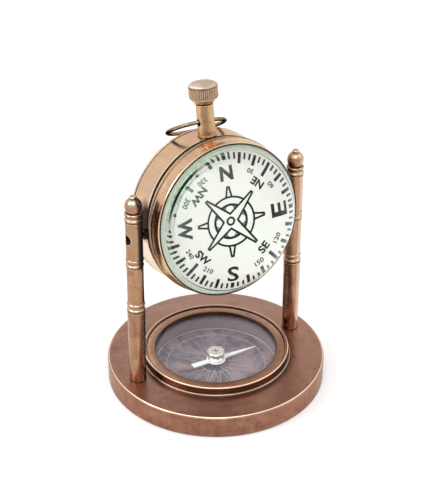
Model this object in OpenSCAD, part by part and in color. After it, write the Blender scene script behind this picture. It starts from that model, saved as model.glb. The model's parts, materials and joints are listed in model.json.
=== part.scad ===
// Desk compass on a turned stand: a round base with a compass let into it, two turned posts, and
// between them a swinging drum with a domed lens over a pivoted compass card, a stem, a knurled
// crown and a hanging ring. Millimetres, +Z up, origin at the centre of the base's underside.
// X runs from post to post along the drum's pivots. The drum's face looks towards -Y.

/* [Stand] */
// Diameter of the base disc
base_d = 75; // [74:0.5:80]
// Height of the base disc
base_h = 8.1; // [7.9:0.1:10]
// Height of the drum's pivots above the base disc
pivot_h = 55.9; // [55.5:0.1:62]
// Diameter of a post at the pivots
post_d = 5.7; // [5.5:0.1:6.4]
// Air between the drum and a post
side_gap = 1.2; // [1.1:0.1:1.6]

/* [Base compass] */
// Diameter of the bowl's flange on the base disc
bowl_d = 51.6; // [48:0.2:51.8]
// Height of the bowl's rim above the base disc
rim_h = 2.9; // [2.7:0.1:3.3]
// Width of the bezel ring round the window
bezel_w = 3.25; // [2.5:0.05:4]
// Length of the needle from the hub to its slim point
needle_l = 16.1; // [13:0.1:17]

/* [Drum] */
// Diameter of the drum
case_d = 53.2; // [52.6:0.1:54]
// Angle by which the drum leans back
tilt = 9.5; // [0:0.5:20]
// Length of the drum behind the pivots
case_back = 9.9; // [9.5:0.1:12]
// Length of the drum in front of the pivots, to the bezel's lip
case_front = 8.3; // [8.1:0.1:9.5]
// Height of the lens above the bezel's lip
dome_h = 14.3; // [10:0.1:15]
// Thickness of the lens at its edge
lens_edge = 1.7; // [1.5:0.1:2]
// Width of the gap between the compass card and the bezel's throat
card_gap = 2.7; // [1.5:0.1:4]

/* [Stem and crown] */
// Distance of the stem's axis behind the pivots
stem_back = 1.7; // [1.5:0.1:2]
// Diameter of the stem
stem_d = 5.76; // [5.4:0.02:6]
// Length of the stem above the drum
stem_l = 10.9; // [10.4:0.1:11.4]
// Diameter of the knurled crown
crown_d = 9.56; // [8.8:0.02:10]
// Height of the crown
crown_h = 6.6; // [6:0.1:7]
// Number of knurls round the crown
knurls = 44; // [36:2:52]

/* [Hanging ring] */
// Diameter of the ring through the middle of its wire
ring_d = 19.3; // [18.8:0.1:19.8]
// Diameter of the ring's wire
wire_d = 1.3; // [1.1:0.05:1.4]
// Air between the resting ring and the drum's rear rim
ring_gap = 1.55; // [1.4:0.05:2]

/* [Hidden] */
$fn = 96;
// Clearances: pieces that are fitted together, shafts that turn, and pieces that pass freely
fit = 0.03;
run = 0.05;
free = 0.15;
// Sheet thickness of thin pieces
sheet = 0.3;

case_r = case_d / 2;
post_r = post_d / 2;
pivot_z = base_h + pivot_h;
// Length by which a cut runs past the face it opens
over = 1;

// Posts, heights above the base disc. They stand clear of both the drum and the bowl's flange
waist_r = post_r - 0.05;
thigh_r = post_r + 0.15;
ankle_r = post_r - 0.12;
flange_r = bowl_d / 2;
foot_gap = 0.6;
post_x = max(case_r + side_gap + post_r, flange_r + foot_gap + thigh_r);
base_r = base_d / 2;
edge = 0.45;
bead_r = 0.6;
bead_in = 0.45;
bead_pitch = 2;
groove_in = 0.22;
groove_half = bead_pitch / 2 + bead_r + 0.15;
low_bead_r = thigh_r - 0.1;
low_beads = 29.7;
mid_bead_drop = 9.1;
mid_beads = pivot_h - mid_bead_drop;
collar_rise = 7.9;
collar = pivot_h + collar_rise;
ball_rise = 11.7;
ball_z = pivot_h + ball_rise;
ball_r = post_r;
ball_drop = 3.4;
ball_low = -42;
neck_r = post_r - 0.4;
nub_r = 1.2;
nub_neck_r = 0.9;
nub_neck = 0.2;
ball_high = acos(nub_neck_r / ball_r);
nub_h = 0.6;
nub_z = ball_z + ball_r * sin(ball_high) + nub_neck;
nub_top = nub_z + nub_h;
nub_edge = 0.2;
post_screw_r = 1.25;
post_screw_in = 8;
screw_head_r = 2.2;
screw_head_h = 1.6;
screw_sink = 0.3;
screw_slot_w = 0.8;
screw_slot_h = 0.7;

// Base compass, heights above the ground
flange_h = 0.5;
rim_r = flange_r - 0.7;
rim_wall = 1;
rim_top = base_h + rim_h;
cup_r = rim_r - 0.9;
cup_floor = 1.2;
dial_z = cup_floor + 1;
dial_top = dial_z + sheet;
cup_in_r = cup_r - 2.2;
glass_r = rim_r - rim_wall - run;
glass_z = base_h + sheet;
glass_h = 1;
ring_seat = glass_z + glass_h;
bezel_h = rim_h - sheet - glass_h - 0.5;
window_r = glass_r - bezel_w;

// Needle and hub
hub_r = 3.05;
hub_top = glass_z - 0.5;
hub_foot_r = 2.7;
hub_z = dial_top + 1.6;
tip_r = 0.45;
needle_z = hub_z + 0.1;
needle_rest = -2.3;
needle_tail = needle_l - 0.9;
bar_end = needle_tail - 6;
needle_knee = needle_l - 7.25;
jewel_r = 0.75;

// Drum, distances along its own axis from the pivots, positive to the front
seam = 1.8;
seam_w = 0.4;
ledge = -3;
wall = 1.6;
bore_r = case_r - wall;
rear_bore_r = bore_r - 1.2;
rear = -case_back + 1;
cover_lip = 0.12;
cover_step = 9;
cover_step_r = case_r - cover_step;
lens_r = case_r - 1.15;
lens_z = case_front - lens_edge;
dome_r = (lens_r * lens_r + dome_h * dome_h) / (2 * dome_h);
seat_h = 0.5;
seat_z = lens_z - seat_h;
throat_wall = 3;
throat_r = case_r - throat_wall;
card_r = throat_r - card_gap;
plate_h = 1.3;
spigot_z = ledge + plate_h + run;
card_h = 0.4;
card_z = seat_z - card_h;
seat_gap = 0.8;
seat_in_r = card_r + seat_gap;
card_hub_r = 2.4;
card_hub_h = 1.8;
card_tip = card_z - 2 * run;
magnet = [2.4, 15, 1.2];
magnet_x = 5.5;

// Pivots
pin_r = 0.8;
bush_r = 1.35;
boss_r = 1.7;
boss_in = case_r - 0.25;
boss_out = post_x - post_r - 0.45;
head_r = 1.7;
head_h = 1;
sink_r = head_r + 0.2;
sink_x = post_x + 0.2;
head_x = sink_x + free;
slot_w = 0.4;

// Stem, crown and ring, heights from the pivots along the stem
stem_r = stem_d / 2;
foot_r = stem_r + 0.17;
foot_z = case_r - 0.7;
stem_top = case_r + stem_l;
eye_z = case_r + 4.9;
eye_gap = 0.55;
eye_r = wire_d / 2 + eye_gap;
shank_r = 0.95;
shank_z = eye_z + eye_r + 1.1;
crown_z = stem_top + free;
crown_r = crown_d / 2;
crown_top = crown_z + crown_h;
crown_in = crown_z + 3.5;
crown_taper = 2.1;
crown_foot_r = crown_r - 1.8;
crown_edge = 0.75;
crown_face_r = crown_r - 0.9;
tooth = 0.3;
ring_r = ring_d / 2;
wire_r = wire_d / 2;
// Resting ring: its angle below the drum's axis, where its sides clear the drum's rear rim
rim_drop = eye_z - sqrt(pow(case_r + cover_lip, 2) - ring_r * ring_r);
rim_away = case_back - stem_back;
ring_rest = atan2(rim_drop, rim_away) - asin((wire_r + ring_gap) / norm([rim_drop, rim_away]));
// The ring lies askew in its loose eye, tipped to one side and turned in its own plane
ring_tip = 5;
ring_turn = 4.4;
// The curved wire is centred in the straight eye: half its sag over the stem's width
ring_sag = (stem_r * stem_r / ring_r + 2 * stem_r * tan(ring_turn)
    - ring_r * pow(tan(ring_turn), 2)) / 4;

// Frames and shared shapes

// Drum frame: +Z out of the drum's face, +Y along the stem
module in_drum() {
    translate([0, 0, pivot_z]) rotate([90 - tilt, 0, 0]) children();
}

// Stem frame: +Z along the stem, from the height of the pivots
module in_stem() {
    in_drum() translate([0, 0, -stem_back]) rotate([-90, 0, 0]) children();
}

// Pivot frame: +Z outwards along the pivots, on the right for side 1 and the left for side -1
module on_side(side) {
    translate([0, 0, pivot_z]) rotate([0, side * 90, 0]) children();
}

// Turned shape from [radius, height] points
module turned(points) {
    rotate_extrude() polygon(points);
}

// Flat ring from z to z + h
module washer(r_out, r_in, z, h) {
    translate([0, 0, z]) difference() {
        cylinder(r = r_out, h = h);
        translate([0, 0, -1]) cylinder(r = r_in, h = h + 2);
    }
}

// Rod with its axis on Z
module rod(r, z0, z1) {
    translate([0, 0, z0]) cylinder(r = r, h = z1 - z0);
}

// Low bead round a shaft of radius r
module bead(r, z) {
    translate([0, 0, z]) rotate_extrude() translate([r - bead_in, 0]) circle(r = bead_r, $fn = 32);
}

// Pair of beads
module bead_pair(r, z) {
    bead(r, z - bead_pitch / 2);
    bead(r, z + bead_pitch / 2);
}

// Cut in which a pair of beads lies
module bead_groove(r, z) {
    washer(r + over, r - groove_in, z - groove_half, 2 * groove_half);
}

// Points of an arc in a turned profile, drawn out to the height h if one is given
function arc(c, r, a0, a1, n, h = 0) = [for (i = [0 : n]) let (a = a0 + (a1 - a0) * i / n)
    [c[0] + r * cos(a), c[1] + (h > 0 ? h : r) * sin(a)]];

// Stand

module base_disc() {
    color([0.55, 0.36, 0.27]) difference() {
        turned([[0, 0], [base_r - edge, 0], [base_r, edge], [base_r, base_h - edge],
            [base_r - edge, base_h], [0, base_h]]);
        rod(cup_r + run, cup_floor, base_h + over);
        for (side = [-1, 1]) translate([side * post_x, 0, 0]) {
            rod(post_screw_r + free, -over, base_h + over);
            rod(screw_head_r + free, -over, screw_sink + screw_head_h);
        }
    }
}

module post_shape() {
    translate([post_x, 0, base_h]) {
        difference() {
            union() {
                cylinder(r1 = ankle_r, r2 = thigh_r, h = low_beads);
                rod(waist_r, low_beads - over, mid_beads + over);
                rod(post_r, mid_beads, collar);
            }
            bead_groove(low_bead_r, low_beads);
            bead_groove(post_r, mid_beads);
            bead_groove(post_r, collar);
        }
        bead_pair(low_bead_r, low_beads);
        bead_pair(post_r, mid_beads);
        bead_pair(post_r, collar);
        turned(concat([[0, collar - over], [neck_r, collar - over],
            [neck_r, ball_z + ball_drop * sin(ball_low)]],
            arc([0, ball_z], ball_r, ball_low, 0, 6, ball_drop),
            arc([0, ball_z], ball_r, 8, ball_high, 8),
            [[nub_neck_r, nub_z], [nub_r - nub_edge, nub_z], [nub_r, nub_z + nub_edge],
            [nub_r, nub_top - nub_edge], [nub_r - nub_edge, nub_top], [0, nub_top]]));
    }
}

// Post with the screw hole in its foot and the pivot hole across it, sunk on the outer side
module right_post_solid() {
    difference() {
        post_shape();
        translate([post_x, 0, base_h]) rod(post_screw_r + fit, -over, post_screw_in + over);
        on_side(1) {
            rod(pin_r + run, post_x - 2 * post_r, post_x + 2 * post_r);
            rod(sink_r, sink_x, post_x + 2 * post_r);
        }
    }
}

module right_post() {
    color([0.66, 0.46, 0.31]) right_post_solid();
}

module left_post() {
    color([0.66, 0.46, 0.31]) mirror([1, 0, 0]) right_post_solid();
}

module post_screws() {
    color([0.6, 0.6, 0.58]) for (side = [-1, 1]) translate([side * post_x, 0, 0]) difference() {
        union() {
            rod(screw_head_r, screw_sink, screw_sink + screw_head_h);
            rod(post_screw_r, screw_head_h, base_h + post_screw_in);
        }
        translate([-screw_head_r - over, -screw_slot_w / 2, -over])
            cube([2 * (screw_head_r + over), screw_slot_w, over + screw_sink + screw_slot_h]);
    }
}

// Base compass

module compass_bowl() {
    color([0.5, 0.33, 0.24]) turned([[0, cup_floor], [cup_r, cup_floor], [cup_r, base_h],
        [flange_r, base_h], [flange_r, base_h + flange_h - 0.12],
        [flange_r - 0.12, base_h + flange_h], [rim_r, base_h + flange_h], [rim_r, rim_top - 0.18],
        [rim_r - 0.18, rim_top], [rim_r - rim_wall + 0.1, rim_top],
        [rim_r - rim_wall, rim_top - 0.1], [rim_r - rim_wall, glass_z], [cup_in_r, glass_z],
        [cup_in_r, dial_z], [0, dial_z]]);
}

module compass_dial() {
    color([0.34, 0.3, 0.33]) washer(cup_in_r - run, 1.5, dial_z, sheet);
}

module needle_pivot() {
    color([0.7, 0.68, 0.62]) turned([[0, dial_z], [1.45, dial_z], [1.45, dial_top + 0.5],
        [tip_r, dial_top + 0.9], [tip_r, hub_top - 1.7], [0.05, hub_top - 0.75],
        [0, hub_top - 0.75]]);
}

module compass_glass() {
    color([0.86, 0.92, 0.9, 0.3]) rod(glass_r, glass_z, ring_seat);
}

module bezel_ring() {
    color([0.6, 0.4, 0.3]) turned([[window_r, ring_seat], [glass_r, ring_seat],
        [glass_r, ring_seat + bezel_h - 0.15], [glass_r - 0.15, ring_seat + bezel_h],
        [window_r + 0.3, ring_seat + bezel_h], [window_r, ring_seat + bezel_h - 0.3]]);
}

// Stamped needle: a ring eye round the hub, a slim point, and a bar with a dart at its tail
module compass_needle() {
    color([0.92, 0.91, 0.9]) translate([0, 0, needle_z]) rotate(needle_rest) difference() {
        linear_extrude(sheet) union() {
            circle(r = hub_foot_r + 0.65);
            polygon([[hub_foot_r, -1.1], [needle_knee, -0.6], [needle_l, -0.08],
                [needle_l, 0.08], [needle_knee, 0.6], [hub_foot_r, 1.1]]);
            polygon([[-hub_foot_r, 1], [-bar_end, 1.1], [-bar_end, 1.4], [-needle_tail, 0.08],
                [-needle_tail, -0.08], [-bar_end, -1.4], [-bar_end, -1.1], [-hub_foot_r, -1]]);
        }
        rod(hub_foot_r + fit, -1, 2);
    }
}

module needle_hub() {
    color([0.8, 0.76, 0.64]) turned([[jewel_r + fit, hub_z], [hub_foot_r, hub_z],
        [hub_foot_r, hub_z + 1], [hub_foot_r - 0.55, hub_z + 1.5],
        [hub_foot_r - 0.55, hub_top - 1.4], [hub_r, hub_top - 1], [hub_r, hub_top - 0.25],
        [hub_r - 0.25, hub_top], [0, hub_top], [0, hub_top - 0.3], [jewel_r + fit, hub_top - 0.3]]);
}

module hub_jewel() {
    color([0.65, 0.12, 0.16]) turned([[0, hub_top - 0.3], [jewel_r, hub_top - 0.3],
        [jewel_r, hub_top - 1], [0.35, hub_top - 1], [0, hub_top - 0.65]]);
}

// Drum

module case_barrel() {
    color([0.85, 0.66, 0.5]) difference() {
        in_drum() turned([[rear_bore_r, rear], [case_r - 0.12, rear], [case_r, rear + 0.12],
            [case_r, seam - 0.12], [case_r - 0.12, seam], [bore_r, seam], [bore_r, ledge],
            [rear_bore_r, ledge]]);
        for (side = [-1, 1]) on_side(side) {
            rod(bush_r + fit, bore_r - 2, case_r + 1);
            rod(boss_r + fit, boss_in, case_r + 1);
        }
        in_stem() {
            rod(foot_r + fit, foot_z, case_r + 1);
            rod(1.6 + fit, bore_r - 2, case_r + 1);
        }
    }
}

// Turned cover with a stepped back, a rim, a thin groove and a spigot in the barrel
module back_cover() {
    color([0.8, 0.6, 0.44]) in_drum() turned([[0, -case_back - 0.4], [cover_step_r, -case_back - 0.4],
        [cover_step_r + 0.5, -case_back], [case_r - 0.1, -case_back],
        [case_r + cover_lip, -case_back + 0.2], [case_r + cover_lip, rear - 0.25],
        [case_r, rear - 0.15], [case_r - 0.4, rear - 0.15], [case_r - 0.4, rear],
        [rear_bore_r - fit, rear], [rear_bore_r - fit, rear + 2.4], [rear_bore_r - 1.2, rear + 2.4],
        [rear_bore_r - 1.2, rear], [0, rear]]);
}

// Bezel from its spigot in the barrel: dark seam, bead, groove, hollow flank, thin lip, lens seat
module front_bezel() {
    flank_z = seam + seam_w + 1.65;
    color([0.84, 0.64, 0.48]) in_drum() turned(concat(
        [[throat_r, spigot_z], [bore_r - fit, spigot_z], [bore_r - fit, seam], [case_r - 0.5, seam],
        [case_r - 0.5, seam + seam_w]],
        arc([case_r - 0.5, seam + seam_w + 0.65], 0.65, -75, 75, 6),
        [[case_r - 0.3, seam + seam_w + 1.4], [case_r - 0.3, flank_z], [case_r - 0.06, flank_z + 0.15],
        [case_r - 0.1, flank_z + 0.6], [case_r - 0.34, flank_z + 1.4], [case_r - 0.5, flank_z + 2.4],
        [case_r - 0.58, case_front - 0.35], [case_r - 0.72, case_front - 0.08],
        [case_r - 0.84, case_front], [lens_r + 0.1, case_front], [lens_r + fit, case_front - 0.1],
        [lens_r + fit, seat_z], [throat_r, seat_z]]));
}

module lens_seat_ring() {
    color([0.85, 0.88, 0.84]) in_drum() washer(lens_r - run, seat_in_r, seat_z, seat_h);
}

module dome_lens() {
    color([0.8, 0.92, 0.86, 0.3]) in_drum() intersection() {
        rod(lens_r, lens_z, case_front + dome_h + 1);
        translate([0, 0, case_front + dome_h - dome_r]) sphere(r = dome_r);
    }
}

module pivot_plate() {
    color([0.72, 0.6, 0.36]) in_drum() washer(bore_r - fit, 1, ledge, plate_h);
}

module card_pivot() {
    color([0.7, 0.68, 0.62]) in_drum() turned([[0, ledge], [1 - fit, ledge],
        [1 - fit, ledge + plate_h], [1.6, ledge + plate_h], [1.6, ledge + plate_h + 0.6],
        [0.5, ledge + plate_h + 1], [0.5, card_tip - 1], [0.05, card_tip], [0, card_tip]]);
}

module trunnion_bush(side) {
    on_side(side) difference() {
        union() {
            rod(bush_r, bore_r + run, boss_in + 0.2);
            rod(boss_r, boss_in, boss_out);
        }
        rod(pin_r, 0, 2 * case_r);
    }
}

module left_trunnion_bush() {
    color([0.72, 0.6, 0.36]) trunnion_bush(-1);
}

module right_trunnion_bush() {
    color([0.72, 0.6, 0.36]) trunnion_bush(1);
}

// Slotted screw: its plain shank is the journal that turns in the post
module pivot_screw(side) {
    on_side(side) difference() {
        union() {
            rod(pin_r, bore_r + 0.2, head_x + 0.1);
            rod(head_r, head_x, head_x + head_h);
        }
        translate([-head_r - 1, -slot_w / 2, head_x + head_h - 0.45])
            cube([2 * head_r + 2, slot_w, 2]);
    }
}

module left_pivot_screw() {
    color([0.3, 0.25, 0.2]) pivot_screw(-1);
}

module right_pivot_screw() {
    color([0.3, 0.25, 0.2]) pivot_screw(1);
}

module stem() {
    color([0.78, 0.62, 0.38]) in_stem() difference() {
        turned([[0, bore_r + run], [1.6, bore_r + run], [1.6, foot_z], [foot_r, foot_z],
            [foot_r, case_r + 0.25], [stem_r + 0.04, case_r + 0.55], [stem_r, case_r + 0.7],
            [stem_r, stem_top - 0.2], [stem_r - 0.2, stem_top], [shank_r + run, stem_top],
            [shank_r + run, shank_z], [0, shank_z]]);
        translate([0, 0, eye_z]) rotate([0, 90, 0]) rod(eye_r, -2 * stem_r, 2 * stem_r);
    }
}

// Compass card

module compass_card() {
    color([0.95, 0.95, 0.92]) in_drum() rod(card_r, card_z, card_z + card_h);
}

module card_hub() {
    color([0.72, 0.6, 0.36]) in_drum() difference() {
        rod(card_hub_r, card_z - card_hub_h, card_z);
        rod(0.8, card_z - card_hub_h - 1, card_z - run);
    }
}

module card_magnets() {
    color([0.35, 0.35, 0.37]) in_drum() for (side = [-1, 1])
        translate([side * magnet_x, 0, card_z - magnet[2] / 2]) cube(magnet, center = true);
}

// Crown and ring

module crown_shaft() {
    color([0.78, 0.62, 0.38]) in_stem() rod(shank_r, shank_z + free, crown_in);
}

// Straight-knurled knob: flat top, knurled band, taper below
module crown_knob() {
    color([0.78, 0.62, 0.38]) in_stem() difference() {
        intersection() {
            translate([0, 0, crown_z]) linear_extrude(crown_h) polygon(
                [for (i = [0 : 2 * knurls - 1]) let (r = crown_r - (i % 2) * tooth)
                [r * cos(180 * i / knurls), r * sin(180 * i / knurls)]]);
            turned([[0, crown_z], [crown_foot_r, crown_z], [crown_r + 0.1, crown_z + crown_taper],
                [crown_r + 0.1, crown_top - crown_edge], [crown_face_r, crown_top], [0, crown_top]]);
        }
        rod(shank_r, crown_z - 1, crown_in);
    }
}

module bow_ring() {
    color([0.6, 0.52, 0.36]) in_drum() translate([0, eye_z, -stem_back])
        rotate([-90 - ring_rest, 0, 0]) rotate([0, ring_tip, 0]) rotate([0, 0, -ring_turn])
        translate([0, ring_r - ring_sag, 0]) rotate_extrude() translate([ring_r, 0])
        circle(r = wire_r, $fn = 32);
}

base_disc();
left_post();
right_post();
post_screws();
compass_bowl();
compass_dial();
needle_pivot();
compass_glass();
bezel_ring();
compass_needle();
needle_hub();
hub_jewel();
case_barrel();
back_cover();
front_bezel();
lens_seat_ring();
dome_lens();
pivot_plate();
card_pivot();
left_trunnion_bush();
right_trunnion_bush();
left_pivot_screw();
right_pivot_screw();
stem();
compass_card();
card_hub();
card_magnets();
crown_shaft();
crown_knob();
bow_ring();
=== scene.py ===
"""Looks of a desk compass: metal finishes, printed card and dial, floor, light and camera.

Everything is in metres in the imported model's frame: +Z up, origin under the base's centre,
the drum's pivots along X and the drum's face towards -Y. Only print is drawn in millimetres.
"""

import json
import math
from collections import namedtuple

import bmesh
import bpy
from mathutils import Matrix, Vector

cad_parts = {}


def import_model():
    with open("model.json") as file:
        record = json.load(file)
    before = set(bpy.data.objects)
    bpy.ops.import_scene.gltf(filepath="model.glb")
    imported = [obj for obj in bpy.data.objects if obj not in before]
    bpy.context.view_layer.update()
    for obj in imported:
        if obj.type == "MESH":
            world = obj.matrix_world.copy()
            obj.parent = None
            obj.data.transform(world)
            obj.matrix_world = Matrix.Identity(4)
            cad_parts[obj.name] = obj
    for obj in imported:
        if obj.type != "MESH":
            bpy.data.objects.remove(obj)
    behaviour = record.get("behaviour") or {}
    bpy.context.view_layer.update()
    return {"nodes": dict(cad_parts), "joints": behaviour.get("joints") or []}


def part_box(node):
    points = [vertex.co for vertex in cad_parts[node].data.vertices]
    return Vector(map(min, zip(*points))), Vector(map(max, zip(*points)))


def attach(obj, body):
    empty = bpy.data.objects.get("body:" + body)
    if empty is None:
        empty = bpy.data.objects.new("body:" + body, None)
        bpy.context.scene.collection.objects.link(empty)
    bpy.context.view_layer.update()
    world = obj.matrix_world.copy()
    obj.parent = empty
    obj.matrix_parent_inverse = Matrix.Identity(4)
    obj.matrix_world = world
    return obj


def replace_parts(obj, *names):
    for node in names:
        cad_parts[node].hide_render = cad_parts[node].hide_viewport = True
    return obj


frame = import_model()

NODES = frame["nodes"]
JOINTS = {joint["name"]: joint for joint in frame["joints"]}
MM = 0.001


# Frames of the turned pieces, each with Z along its axis


def axes(origin, x, y, z):
    """Matrix of a frame from its origin and axes."""
    turn = Matrix((x, y, z)).transposed().to_4x4()
    return Matrix.Translation(origin) @ turn


X = Vector((1, 0, 0))
FACE = Vector(JOINTS["card_turn"]["axis"]).normalized()
UP = Vector(JOINTS["crown_turn"]["axis"]).normalized()
PIVOT = Vector(JOINTS["drum_swing"]["pos_m"])
STEM = Vector(JOINTS["crown_turn"]["pos_m"])

IN_STAND = Matrix.Identity(4)
IN_DRUM = axes(PIVOT, X, UP, FACE)
IN_STEM = axes(STEM, X, -FACE, UP)


def in_post(node):
    """Frame of a post, on the base's top."""
    low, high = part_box(node)
    return Matrix.Translation(((low.x + high.x) / 2, 0, low.z))


def points_in(matrix, node):
    """A node's points in a piece's own frame."""
    inverse = matrix.inverted()
    return [inverse @ vertex.co for vertex in NODES[node].data.vertices]


def span_in(matrix, node):
    """Lowest and highest height of a node along a frame's axis."""
    heights = [point.z for point in points_in(matrix, node)]
    return min(heights), max(heights)


# Shader helpers


class Shader:
    """A material's node tree, with short calls for the nodes used here."""

    def __init__(self, name):
        self.material = bpy.data.materials.new(name)
        self.material.use_nodes = True
        self.tree = self.material.node_tree
        self.tree.nodes.clear()
        self.output = self.add("OutputMaterial")

    def add(self, kind, sockets=None, **properties):
        """A node with its properties set, and its sockets linked or set."""
        node = self.tree.nodes.new("ShaderNode" + kind)
        for key, value in properties.items():
            setattr(node, key, value)
        for key, value in (sockets or {}).items():
            self.feed(node.inputs[key], value)
        return node

    def feed(self, socket, value):
        """Links a socket, or sets its own value."""
        if isinstance(value, bpy.types.NodeSocket):
            self.tree.links.new(value, socket)
        else:
            socket.default_value = value

    def math(self, operation, a, b=0.0):
        return self.add("Math", {0: a, 1: b}, operation=operation).outputs[0]

    def hypot(self, a, b):
        square = self.math("ADD", self.math("MULTIPLY", a, a), self.math("MULTIPLY", b, b))
        return self.math("SQRT", square)

    def dot(self, a, b):
        return self.add("VectorMath", {0: a, 1: b}, operation="DOT_PRODUCT").outputs["Value"]

    def remap(self, value, low, high, to_low=0.0, to_high=1.0):
        sockets = {"Value": value, 1: low, 2: high, 3: to_low, 4: to_high}
        return self.add("MapRange", sockets).outputs[0]

    def between(self, value, low, high, soft):
        """1 between two limits, fading to 0 just outside them."""
        above = self.remap(value, low - soft, low)
        below = self.remap(value, high + soft, high)
        return self.math("MULTIPLY", above, below)

    def mix(self, factor, a, b, blend="MIX"):
        node = self.add("Mix", {0: factor}, data_type="RGBA", blend_type=blend)
        self.feed(node.inputs[6], a)
        self.feed(node.inputs[7], b)
        return node.outputs[2]

    def noise(self, vector, scale, detail=3.0, roughness=0.5):
        sockets = {"Vector": vector, "Scale": scale, "Detail": detail, "Roughness": roughness}
        return self.add("TexNoise", sockets).outputs["Fac"]

    def vary(self, noise, low, high):
        """Numbers from low to high over a noise's usual range."""
        return self.remap(noise, 0.3, 0.7, low, high)

    def cloudy(self, noise, colour, shade):
        """Two colours, mixed in clouds by a noise."""
        return self.mix(self.remap(noise, 0.35, 0.7), colour, shade)

    def here(self):
        """Object coordinates."""
        return self.add("TexCoord").outputs["Object"]

    def place(self, matrix):
        """Object coordinates in a piece's own frame."""
        origin, turn = matrix.to_translation(), matrix.to_euler()
        sockets = {"Vector": self.here(), "Location": origin, "Rotation": turn}
        return self.add("Mapping", sockets, vector_type="TEXTURE").outputs["Vector"]

    def round_place(self, place):
        """Distance from the axis, angle round it and height along it."""
        x, y, z = self.add("SeparateXYZ", {0: place}).outputs
        return self.hypot(x, y), self.math("ARCTAN2", y, x), z

    def bump(self, height, strength, depth, normal=None):
        """Normal of a surface that a height raises, over another normal if one is given."""
        sockets = {"Height": height, "Strength": strength, "Distance": depth}
        if normal is not None:
            sockets["Normal"] = normal
        return self.add("Bump", sockets).outputs[0]

    def principled(self, sockets):
        """The material, with one principled surface."""
        return self.show(self.add("BsdfPrincipled", sockets).outputs[0])

    def show(self, shader, volume=None):
        """The material, with a surface and perhaps a volume."""
        self.tree.links.new(shader, self.output.inputs["Surface"])
        if volume is not None:
            self.tree.links.new(volume, self.output.inputs["Volume"])
        return self.material


def srgb(red, green, blue):
    """Linear colour from the 0 to 255 values it shows as."""
    def linear(value):
        value /= 255
        return value / 12.92 if value <= 0.04045 else ((value + 0.055) / 1.055) ** 2.4
    return (linear(red), linear(green), linear(blue), 1.0)


# Metals


class Finish(namedtuple("Finish", "bright dull blush edge graze gloss marks stains grime coat")):
    """Look of a turned metal.

    bright and dull mix in cloudy stains, blush is the hue of wider patches, edge is the colour of
    worn corners, bright enough to stand for their highlights, and graze is the colour at a grazing
    angle. gloss is the roughness, marks the depth of the tool marks, stains the strength of the
    clouds, darkening how far ambient occlusion darkens out of hollows, and coat the lacquer.
    """


# Dark brown of tarnish, also used to paint shade
TARNISH_AND_SHADE = srgb(40, 20, 12)
COPPER_GRAZE = (0.6, 0.44, 0.36, 1.0)
BRASS_GRAZE = (0.8, 0.64, 0.48, 1.0)
PALE_GRAZE = (0.92, 0.84, 0.76, 1.0)

BASE_COPPER = Finish(
    bright=srgb(184, 136, 110), dull=srgb(134, 82, 58), blush=srgb(164, 112, 86),
    edge=srgb(255, 232, 208), graze=COPPER_GRAZE,
    gloss=0.34, marks=0.3, stains=1.0, grime=0.8, coat=0.6)
BOWL_COPPER = Finish(
    bright=srgb(180, 132, 108), dull=srgb(138, 86, 62), blush=srgb(176, 122, 94),
    edge=srgb(255, 228, 202), graze=COPPER_GRAZE,
    gloss=0.3, marks=0.25, stains=0.8, grime=0.85, coat=0.6)
BEZEL_COPPER = Finish(
    bright=srgb(218, 182, 160), dull=srgb(164, 114, 88), blush=srgb(200, 156, 126),
    edge=srgb(255, 244, 228), graze=COPPER_GRAZE,
    gloss=0.34, marks=0.25, stains=1.0, grime=0.8, coat=0.0)
POST_COPPER = Finish(
    bright=srgb(184, 136, 104), dull=srgb(136, 90, 64), blush=srgb(172, 136, 96),
    edge=srgb(255, 242, 218), graze=PALE_GRAZE,
    gloss=0.26, marks=0.25, stains=1.0, grime=0.88, coat=0.6)
CASE_BRASS = Finish(
    bright=srgb(240, 204, 168), dull=srgb(218, 176, 140), blush=srgb(224, 186, 174),
    edge=srgb(255, 240, 212), graze=BRASS_GRAZE,
    gloss=0.22, marks=0.2, stains=0.7, grime=0.85, coat=0.2)
FRONT_BRASS = Finish(
    bright=srgb(242, 202, 164), dull=srgb(206, 158, 120), blush=srgb(230, 194, 164),
    edge=srgb(255, 238, 208), graze=BRASS_GRAZE,
    gloss=0.2, marks=0.2, stains=0.8, grime=0.9, coat=0.2)
STEM_BRASS = Finish(
    bright=srgb(222, 184, 136), dull=srgb(170, 130, 84), blush=srgb(206, 168, 126),
    edge=srgb(255, 242, 214), graze=BRASS_GRAZE,
    gloss=0.24, marks=0.25, stains=1.0, grime=0.85, coat=0.3)
CROWN_BRASS = Finish(
    bright=srgb(200, 158, 112), dull=srgb(136, 92, 58), blush=srgb(186, 144, 104),
    edge=srgb(255, 244, 222), graze=BRASS_GRAZE,
    gloss=0.3, marks=0.25, stains=0.9, grime=0.97, coat=0.3)
RING_BRASS = Finish(
    bright=srgb(190, 168, 140), dull=srgb(110, 88, 66), blush=srgb(150, 126, 98),
    edge=srgb(238, 228, 212), graze=BRASS_GRAZE,
    gloss=0.3, marks=0.12, stains=1.0, grime=0.8, coat=0.0)

# Scales of the metals' noises, per metre
TOOL_MARKS, TURNED_BANDS, DRAWN_STREAKS = 2600.0, 420.0, 700.0
CLOUDS, PATCHES, SPECKS = 170.0, 65.0, 1500.0

ROUND_GRAIN = 0.0006  # metres of noise in a radian, so that turned marks run round the axis
ALONG_GRAIN = (1, 1, 0.06)  # so that drawn streaks run along the axis
MARK_DEPTH = 0.02 * MM
GROOVE_SOFT = 0.06 * MM
RING_SOFT = 0.05 * MM
PAINT_SOFT = 0.03 * MM


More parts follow.
